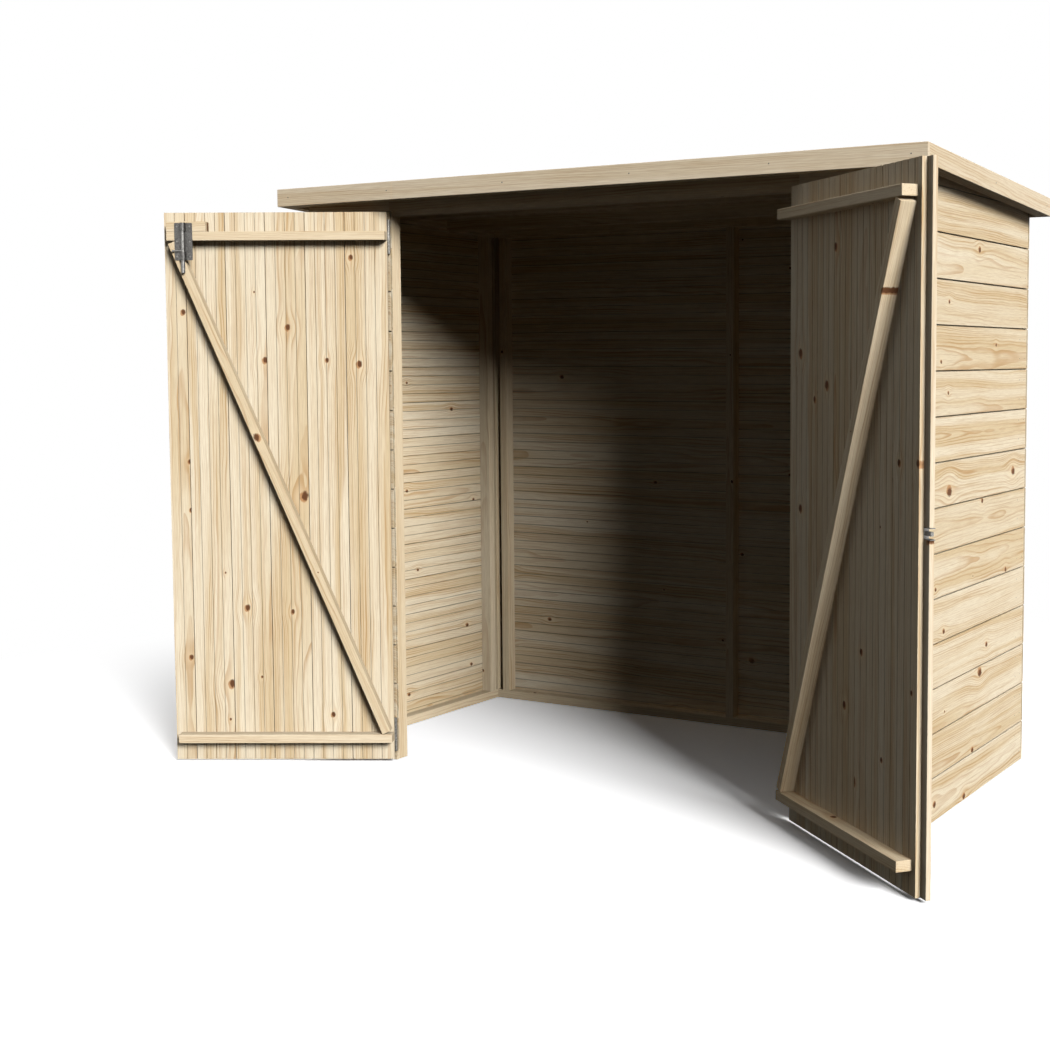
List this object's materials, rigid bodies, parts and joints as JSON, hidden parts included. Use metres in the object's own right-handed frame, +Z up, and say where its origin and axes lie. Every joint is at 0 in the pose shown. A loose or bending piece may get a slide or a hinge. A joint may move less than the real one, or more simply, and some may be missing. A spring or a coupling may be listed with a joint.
{
  "type": "bike shelter",
  "caption": "Closed timber bike shelter: shiplap walls on a light frame, a low pent roof with fascias, and ledged and braced double doors that swing open.",
  "frame": {"origin": "underside of the back wall's bottom rail, at the middle of its length, on the ground", "axes": "+X to the right seen from the front, +Y to the back wall, +Z up"},
  "size_m": [2.3269, 1.3683, 1.655],
  "materials": {
    "shiplap": "pressure treated pale softwood shiplap",
    "framing": "planed pale softwood battens",
    "fascia_timber": "planed softwood trim",
    "deck_timber": "tongued softwood roof boards",
    "felt": "mineral roofing felt",
    "hinge_steel": "zinc plated steel",
    "galvanised_steel": "galvanised steel"
  },
  "bodies": {
    "shed": {"left_wall_cladding": "shiplap", "right_wall_cladding": "shiplap", "back_wall_cladding": "shiplap", "front_left_cladding": "shiplap", "front_right_cladding": "shiplap", "header_cladding": "shiplap", "left_wall_rails": "framing", "left_wall_studs": "framing", "right_wall_rails": "framing", "right_wall_studs": "framing", "back_wall_rails": "framing", "back_wall_studs": "framing", "front_bottom_rails": "framing", "front_corner_studs": "framing", "left_jamb": "framing", "right_jamb": "framing", "front_top_rail": "framing", "header_packer": "framing", "header_rail": "framing", "roof_deck": "deck_timber", "roof_felt": "felt", "roof_bearers": "framing", "eaves_battens": "framing", "front_fascia": "fascia_timber", "left_fascia": "fascia_timber", "right_fascia": "fascia_timber", "back_fascia": "fascia_timber", "left_hinge_plates": "hinge_steel", "right_hinge_plates": "hinge_steel"},
    "left_door": {"left_door_boards": "shiplap", "left_top_ledge": "framing", "left_bottom_ledge": "framing", "left_brace": "framing", "left_hinge_straps": "hinge_steel", "bolt_block": "framing", "bolt_case": "galvanised_steel"},
    "bolt": {"bolt_rod": "galvanised_steel"},
    "right_door": {"right_door_boards": "shiplap", "right_top_ledge": "framing", "right_bottom_ledge": "framing", "right_brace": "framing", "right_hinge_straps": "hinge_steel", "cover_strip": "fascia_timber", "lock_keep": "galvanised_steel"}
  },
  "joints": [
    {"name": "left_door_swing", "type": "hinge", "parent": "shed", "child": "left_door", "pos_m": [-0.635, -0.884, 0.79], "axis": [0, 0, 1], "range_deg": [-22, 150.3]},
    {"name": "right_door_swing", "type": "hinge", "parent": "shed", "child": "right_door", "pos_m": [0.635, -0.884, 0.79], "axis": [0, 0, 1], "range_deg": [-139.7, 32]},
    {"name": "bolt_slide", "type": "slide", "parent": "left_door", "child": "bolt", "axis": [0, 0, 1], "range_m": [0, 0.038]}
  ]
}
